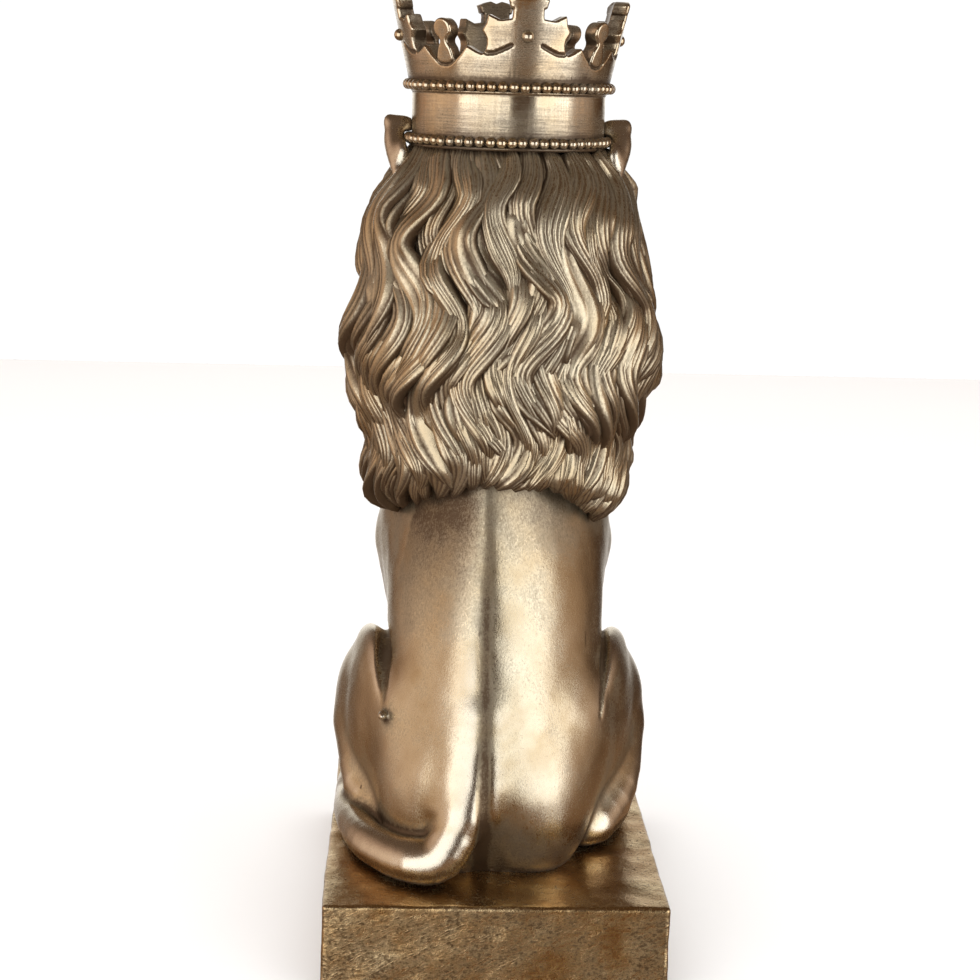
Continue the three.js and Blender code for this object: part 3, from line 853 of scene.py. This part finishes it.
crown = mesh_object("crown_wall", crown_points, crown_faces)
thin(crown, 120_000)
measure_hollow(crown, crown_block, 8, 0.35)
wall_mesh = crown.data
beads = Bundle()
wall_patina_and_shade = hollow_of(wall_mesh)
wall_points = points_of(wall_mesh)
wall_above = wall_points[:, 2] - UPPER_BEADS
wall_out = BAND_RADIUS + np.where(wall_above > 0, 1 + slope * wall_above, 0)
wall_depth = wall_out - np.hypot(*(wall_points[:, :2] - CROWN_MIDDLE).T)
trued = wall_depth * np.clip((0.2 - np.abs(wall_depth)) / 0.12, 0, 1)  # the outside is turned exactly round
wall_points[:, :2] += (wall_points[:, :2] - CROWN_MIDDLE) * (trued / (wall_out - wall_depth))[:, None]
wall_patina_and_shade += 0.9 * np.clip(wall_depth / WALL, 0, 1)  # painted shade inside the crown, and the cut edges darker the further in they lie,
wall_patina_and_shade += 0.34 * (wall_points[:, 2] > UPPER_BEADS)  # painted shade that dims the flared wall,
wall_patina_and_shade += 0.9 * (wall_points[:, 2] < CROWN_LOW[2] + 1.9)  # a painted shadow along the bottom rim under the lower beads,
for height in (LOWER_BEADS, UPPER_BEADS):
    wall_patina_and_shade += 0.7 * np.exp(-(((wall_points[:, 2] - height) / 2.8) ** 4))  # and painted shade on the wall behind the beads
beads.take(wall_points, [tuple(face.vertices) for face in wall_mesh.polygons], wall_patina_and_shade)
BEAD_COUNT = 60


def place_ball(turn, out, height, size, around=10, up=6):
    middle = (CROWN_MIDDLE[0] + out * math.sin(turn), CROWN_MIDDLE[1] + out * math.cos(turn), height)
    points, faces = ball(middle, size, around, up)
    # Painted shade: the side of each bead that faces the wall is darkened.
    inward = np.clip(-((points - middle)[:, :2] @ [math.sin(turn), math.cos(turn)]) / size, 0, 1)
    beads.take(points, faces, 0.42 + 0.58 * inward)


for height, out in ((LOWER_BEADS, BAND_RADIUS + 1.2), (UPPER_BEADS, BAND_RADIUS + 1.7)):
    for i in range(BEAD_COUNT):
        size = BEAD_RADIUS * random.uniform(0.98, 1.07)
        place_ball(2 * math.pi * (i + jitter(0.06)) / BEAD_COUNT, out, height + jitter(0.12), size)
BOSS_HEIGHT, BOSS_RADIUS = 17.4, 2.2
for quarter_turn in range(4):
    boss_out = BAND_RADIUS + 1 + slope * BOSS_HEIGHT
    place_ball(quarter_turn * math.pi / 2 - CROWN_TURN, boss_out, UPPER_BEADS + BOSS_HEIGHT, BOSS_RADIUS, 16, 10)
bpy.data.objects.remove(crown)
crown = beads.piece("crown_carved")

# %% [markdown]
# ## The plinth
#
# The plinth is a plain block, but a cast and hand-brushed one: its edges are rounded and not quite straight, and its
# faces dip a little. A box with bevelled edges is cut into small squares, and soft noise moves them.


# %% Plinth
def plinth_block(low, high, rounding, squares):
    """A block whose faces are grids of small squares, pulled round at its edges."""
    mesh = bmesh.new()
    bmesh.ops.create_cube(mesh, size=1)
    bmesh.ops.subdivide_edges(mesh, edges=mesh.edges[:], cuts=squares, use_grid_fill=True)
    middle, half = (low + high) / 2, (high - low) / 2
    points = np.array([vertex.co for vertex in mesh.verts]) * 2
    squeeze = np.sign(points) * (1 - (1 - np.abs(points)) ** 1.25)  # more squares near the edges
    place = squeeze * half
    core = np.clip(place, rounding - half, half - rounding)
    off = place - core
    length = np.linalg.norm(off, axis=1, keepdims=True)
    place = np.where(length > 0, core + off / np.maximum(length, 1e-9) * rounding, place)
    for vertex, at in zip(mesh.verts, place + middle):
        vertex.co = Vector(at)
    made_points = np.array([vertex.co for vertex in mesh.verts])
    mesh.verts.index_update()
    faces = [tuple(vertex.index for vertex in face.verts) for face in mesh.faces]
    mesh.free()
    return made_points, faces


plinth = mesh_object("plinth_block", *plinth_block(PLINTH_LOW, PLINTH_HIGH, 1.5, 120))
uneven(plinth, [(38.0, 0.5), (9.0, 0.28), (2.6, 0.08)])
flat_foot = points_of(plinth.data)
flat_foot[:, 2] = np.maximum(flat_foot[:, 2], PLINTH_LOW[2])
set_points(plinth.data, flat_foot)
low, high = PLINTH_LOW, PLINTH_HIGH
to_faces = np.sort(np.minimum(flat_foot - low, high - flat_foot), 1)
from_edge = to_faces[:, 1]  # how far a point lies from the nearest edge
worn = np.array([noise.noise(Vector(p / 7)) + 0.8 * noise.noise(Vector(p / 2.4)) for p in flat_foot])
rubbed = np.clip(0.45 + 1.5 * worn, 0, 1) * np.exp(-from_edge / 1.6)  # edges are rubbed bare here and there
keep_hollow(plinth.data, 0.42 + 0.14 * np.exp(-from_edge / 6) - 0.5 * rubbed)
print("plinth_block", len(plinth.data.polygons), "faces")

for piece, node, slot in (
    (plinth, "plinth", "worn_gold_lacquer"),
    (lion, "lion", "gold_lacquer"),
    (mane, "lion", "gold_lacquer"),
    (beard, "lion", "gold_lacquer"),
    (crown, "crown", "crown_gold_lacquer"),
):
    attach(piece, "root")
    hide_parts(node)

# %% [markdown]
# ## Gold lacquer
#
# The finish is a bronze powder bound in clear lacquer and sprayed over resin. It isn't foil: it reflects like a metal
# with a satin blur, and the powder gives a fine grain. Then a brown glaze is brushed on and wiped off, so it stays in
# the grooves and in soft clouds, and the ridges come out palest where the cloth has rubbed them. The same brown is
# also laid on as painted shade: on faces that look down, where parts crowd together, and on the plinth's upright
# faces.


# %% Nodes
def linear(code):
    """An sRGB hex colour as linear red, green, blue and alpha."""
    parts = [int(code[i : i + 2], 16) / 255 for i in (1, 3, 5)]
    return [p / 12.92 if p <= 0.04045 else ((p + 0.055) / 1.055) ** 2.4 for p in parts] + [1.0]


def add_node(tree, kind, inputs=(), out=0, stops=(), **settings):
    """Adds a node with its settings and links, and gives its output by number or name.

    inputs are values or other nodes' outputs, in the node's own order or by name. stops are for a colour ramp: places
    from 0 to 1, each with a hex colour.
    """
    made = tree.nodes.new("ShaderNode" + kind)
    for name, value in settings.items():
        setattr(made, name, value)
    for name, value in inputs.items() if isinstance(inputs, dict) else enumerate(inputs):
        if isinstance(value, bpy.types.NodeSocket):
            tree.links.new(value, made.inputs[name])
        else:
            made.inputs[name].default_value = value
    for _ in stops[2:]:
        made.color_ramp.elements.new(0.5)
    for i, (spot, code) in enumerate(stops):
        made.color_ramp.elements[i].position = spot
        made.color_ramp.elements[i].color = linear(code)
    return made.outputs[out] if made.outputs else None


# %% Gold lacquer material
def gold_lacquer(name, colours, brushed, blur, glaze_from, upright, low_down, bump_mm, flecked):
    """Bronze-powder lacquer under a wiped brown glaze.

    colours are those of the rubbed ridges, the pale and the deep powder, and the glaze in the hollows, which is also
    the brown of the painted shade. brushed is how much longer a brush mark is along X, Y and Z than it is wide, and
    blur the roughness. glaze_from is how hollow a place is where the glaze starts to show. upright is painted shade:
    how much more of the brown is laid on upright faces than on level ones, so tops stay lighter. low_down is how much
    more of it there is near the foot. flecked is how many scratches and dried specks there are.
    """
    rubbed, pale, deep, glaze = colours
    material = bpy.data.materials.new(name)
    material.use_nodes = True
    tree = material.node_tree
    tree.nodes.clear()
    place = add_node(tree, "TexCoord", out="Object")
    hollow = add_node(tree, "Attribute", out="Fac", attribute_name="hollow")
    open_sky = add_node(tree, "AmbientOcclusion", {"Distance": 3 * MM}, "AO", samples=6)
    height = add_node(tree, "SeparateXYZ", [place], "Z")
    upward = add_node(tree, "SeparateXYZ", [add_node(tree, "NewGeometry", out="Normal")], "Z")
    underside_shade = add_node(tree, "Math", [upward, 0.0], operation="MINIMUM")
    level = add_node(tree, "Math", [upward], operation="ABSOLUTE")
    foot = add_node(tree, "MapRange", [height, 0.03, 0.13, 1.0, 0.0])
    marks = {}
    for mark, size_mm, detail, rough, longer, tilt in (
        ("clouds", 19.0, 3.0, 0.6, (1, 1, 1), 0.0),  # where the cloth wiped more or less
        ("strokes", 1.0, 4.0, 0.65, brushed, 0.0),  # the marks of the brush
        ("specks", 1.2, 3.0, 0.7, (1, 1, 1), 0.0),  # flecks where drops dried
        ("powder", 0.5, 2.0, 0.5, (1, 1, 1), 0.0),  # the grain of the bronze powder, drawn coarse enough to show
        ("scratches", 0.45, 2.0, 0.5, (16, 16, 1), 0.5),  # thin lines rubbed through to the powder
    ):
        scale = [size_mm * MM * along for along in longer]
        laid = {"Vector": place, "Scale": scale, "Rotation": (0.0, tilt, 0.0)}
        scaled = add_node(tree, "Mapping", laid, vector_type="TEXTURE")
        noise_inputs = {"Vector": scaled, "Scale": 1.0, "Detail": detail, "Roughness": rough}
        marks[mark] = add_node(tree, "TexNoise", noise_inputs, "Fac")

    scratched = add_node(tree, "MapRange", [marks["scratches"], 0.58, 0.63])
    left = 0.0
    for cause, zero, weight in (
        (scratched, 0.0, -0.7 * flecked**2),
        (marks["specks"], 0.5, 1.2 * flecked),
        (hollow, 0.0, 0.8),
        # painted shade: the AO node darkens places where parts crowd together
        (open_sky, 1.0, -0.5),
        (marks["clouds"], 0.5, 0.6 + 0.5 * flecked),
        (marks["strokes"], 0.5, 0.35 + 0.8 * flecked),
        (marks["powder"], 0.5, 0.35),
        # painted shade on faces that look down
        (underside_shade, 0.0, -0.5),
        # painted shade: upright faces darker than level ones, so the plinth's top stays lighter
        (level, 1.0, -upright),
        (foot, 0.0, low_down),
    ):
        away = add_node(tree, "Math", [cause, zero], operation="SUBTRACT")
        left = add_node(tree, "Math", [away, weight, left], operation="MULTIPLY_ADD")
    glaze_and_shade = add_node(tree, "MapRange", [left, glaze_from, glaze_from + 0.55])
    flecks = add_node(tree, "MapRange", [marks["specks"], 0.62, 0.70, 0.0, flecked])
    glaze_and_shade = add_node(tree, "Math", [glaze_and_shade, flecks], operation="MAXIMUM")

    wiped = add_node(tree, "MapRange", [marks["clouds"], 0.35, 0.65])
    colour = add_node(tree, "Mix", {0: wiped, 6: linear(deep), 7: linear(pale)}, 2, data_type="RGBA")
    ridges = add_node(tree, "MapRange", [hollow, 0.28, 0.05, 0.0, 0.8])
    colour = add_node(tree, "Mix", {0: ridges, 6: colour, 7: linear(rubbed)}, 2, data_type="RGBA")
    covered = add_node(tree, "Math", [glaze_and_shade, 0.9], operation="MULTIPLY")
    colour = add_node(tree, "Mix", {0: covered, 6: colour, 7: linear(glaze)}, 2, data_type="RGBA")
    satin = add_node(tree, "Math", [marks["strokes"], 0.12, blur - 0.06], operation="MULTIPLY_ADD")
    satin = add_node(tree, "Math", [glaze_and_shade, 0.22, satin], operation="MULTIPLY_ADD")
    metal = add_node(tree, "Math", [glaze_and_shade, -0.3, 1.0], operation="MULTIPLY_ADD")

    bumps = 0.0
    for mark, weight in (("specks", 0.6), ("strokes", 0.6), ("powder", 0.35)):
        bumps = add_node(tree, "Math", [marks[mark], weight, bumps], operation="MULTIPLY_ADD")
    normal = add_node(tree, "Bump", {"Strength": 0.5, "Distance": bump_mm * MM, "Height": bumps})
    inputs = {"Base Color": colour, "Metallic": metal, "Roughness": satin, "Normal": normal}
    add_node(tree, "OutputMaterial", {"Surface": add_node(tree, "BsdfPrincipled", inputs)})
    return material


FIGURE_GOLD = gold_lacquer(  # sprayed and wiped: satin, so bright things show in it as bands with soft edges
    "bronze_powder_lacquer", ("#e6dac2", "#daccac", "#c2ae8a", "#4a3018"), brushed=(0.6, 0.6, 1.4), blur=0.27,
    glaze_from=0.27, upright=0.0, low_down=0.05, bump_mm=0.12, flecked=0.2,
)
CROWN_GOLD = gold_lacquer(  # polished round and round: the sharpest bands, drawn out a little along the turn
    "polished_bronze_lacquer", ("#f0e5cf", "#e8d9bb", "#d0b993", "#432d18"), brushed=(14, 14, 0.5), blur=0.15,
    glaze_from=0.37, upright=0.0, low_down=0.0, bump_mm=0.03, flecked=0.15,
)
PLINTH_GOLD = gold_lacquer(  # dabbed on with a stiff brush and handled since: dull, blotched and scratched
    "worn_bronze_lacquer", ("#efdcb6", "#e0c696", "#bb955f", "#4f381d"), brushed=(3, 2.2, 1), blur=0.24,
    glaze_from=0.58, upright=0.5, low_down=0.0, bump_mm=0.34, flecked=1.3,
)
for made, finish in ((lion, FIGURE_GOLD), (mane, FIGURE_GOLD), (beard, FIGURE_GOLD)):
    made.data.materials.append(finish)
crown.data.materials.append(CROWN_GOLD)
plinth.data.materials.append(PLINTH_GOLD)
print("materials", [material.name for material in bpy.data.materials])

# %% [markdown]
# ## Floor and light
#
# Metal shows what stands round it more than it shows lamps. Two tall soft boxes stand behind the camera's shoulders,
# and their reflections draw the pale upright bands. A bright backdrop beyond the figure gives its pale rims, and the
# room on the camera's side is a dim warm brown, which the gold shows everywhere else. A white floor would fill the
# lower half of the metal with white. So the floor is kept out of reflections, and so is the wide lamp overhead, which
# is there to light the paper.


# %% Floor
def pale_floor(half_size):
    corners = [(-half_size, -half_size, 0), (half_size, -half_size, 0), (half_size, half_size, 0)]
    floor = mesh_object("floor", np.array([*corners, (-half_size, half_size, 0)]) / MM, [(0, 1, 2, 3)])
    material = bpy.data.materials.new("pale_paper")
    material.use_nodes = True
    paper = material.node_tree.nodes["Principled BSDF"]
    paper.inputs["Base Color"].default_value = linear("#f4f0ea")
    paper.inputs["Roughness"].default_value = 0.9
    floor.data.materials.append(material)
    floor.visible_glossy = False


pale_floor(1.4)


# %% Light
def panel(name, place, towards, width, height, radiance, colour=(1, 1, 1), in_metal=True):
    """A flat lamp that faces a point: radiance is the brightness of its face, where paper in full light has 1."""
    light = bpy.data.lights.new(name, "AREA")
    light.shape = "RECTANGLE"
    light.size, light.size_y = width, height
    light.energy = radiance * width * height * math.pi
    light.color = colour
    made = bpy.data.objects.new(name, light)
    made.location = place
    made.rotation_euler = (Vector(towards) - Vector(place)).to_track_quat("-Z", "Y").to_euler()
    made.visible_camera = False
    made.visible_glossy = in_metal
    bpy.context.scene.collection.objects.link(made)


BOX_DISTANCE, BOX_MIDDLE, BOX_HEIGHT = 1.5, 0.17, 1.56  # metres


def soft_box(name, bearing, spread, radiance):
    """An upright soft box: bearing and spread are its direction, from +Y towards +X, and its width, in degrees."""
    turn = math.radians(bearing)
    place = (BOX_DISTANCE * math.sin(turn), BOX_DISTANCE * math.cos(turn), BOX_MIDDLE)
    width = 2 * BOX_DISTANCE * math.tan(math.radians(spread / 2))
    panel(name, place, (0, 0, BOX_MIDDLE), width, BOX_HEIGHT, radiance, (0.95, 1.0, 1.1))


soft_box("left_soft_box", 31.5, 61, 1.62)
soft_box("right_soft_box", -52.5, 47, 1.85)
panel("paper_lamp", (0, -0.2, 2.2), (0, -0.2, 0), 4.5, 4.5, 2.0, (0.96, 1, 1.05), in_metal=False)


def surroundings():
    """What the metal reflects: a dim warm room, and a bright backdrop beyond. The camera itself sees white."""
    world = bpy.data.worlds.new("studio")
    bpy.context.scene.world = world
    world.use_nodes = True
    tree = world.node_tree
    tree.nodes.clear()
    direction = add_node(tree, "TexCoord", out="Generated")
    x, y, z = (add_node(tree, "SeparateXYZ", [direction], axis) for axis in "XYZ")
    across = add_node(tree, "Math", [x, 0.5, 0.5], operation="MULTIPLY_ADD")
    # The walls run from -X at 0 to +X at 1, and are the same towards +Y and -Y.
    walls = [(0.0, "#c6ab99"), (0.06, "#6a5648"), (0.2, "#44342b"), (0.5, "#4c3a2d"), (0.8, "#6b5749")]
    walls += [(0.93, "#bda090"), (1.0, "#ecd2c0")]
    room = add_node(tree, "ValToRGB", [across], stops=walls)
    for first, last, colour in ((0.45, 0.8, "#5d4c40"), (-0.26, -0.42, "#83654c")):  # the ceiling and the floor
        part = add_node(tree, "MapRange", [z, first, last])
        room = add_node(tree, "Mix", {0: part, 6: room, 7: linear(colour)}, 2, data_type="RGBA")
    beyond = add_node(tree, "MapRange", [y, -0.84, -0.96])
    low = add_node(tree, "MapRange", [z, 0.6, 0.38])
    beyond = add_node(tree, "Math", [beyond, low], operation="MULTIPLY")
    room = add_node(tree, "Mix", {0: beyond, 6: room, 7: (1.25, 1.25, 1.25, 1)}, 2, data_type="RGBA")
    seen = add_node(tree, "LightPath", out="Is Camera Ray")
    shown = add_node(tree, "Mix", {0: seen, 6: room, 7: (1.05, 1.05, 1.05, 1)}, 2, data_type="RGBA")
    add_node(tree, "OutputWorld", {"Surface": add_node(tree, "Background", {"Color": shown})})


surroundings()
bpy.context.scene.view_settings.view_transform = "Standard"
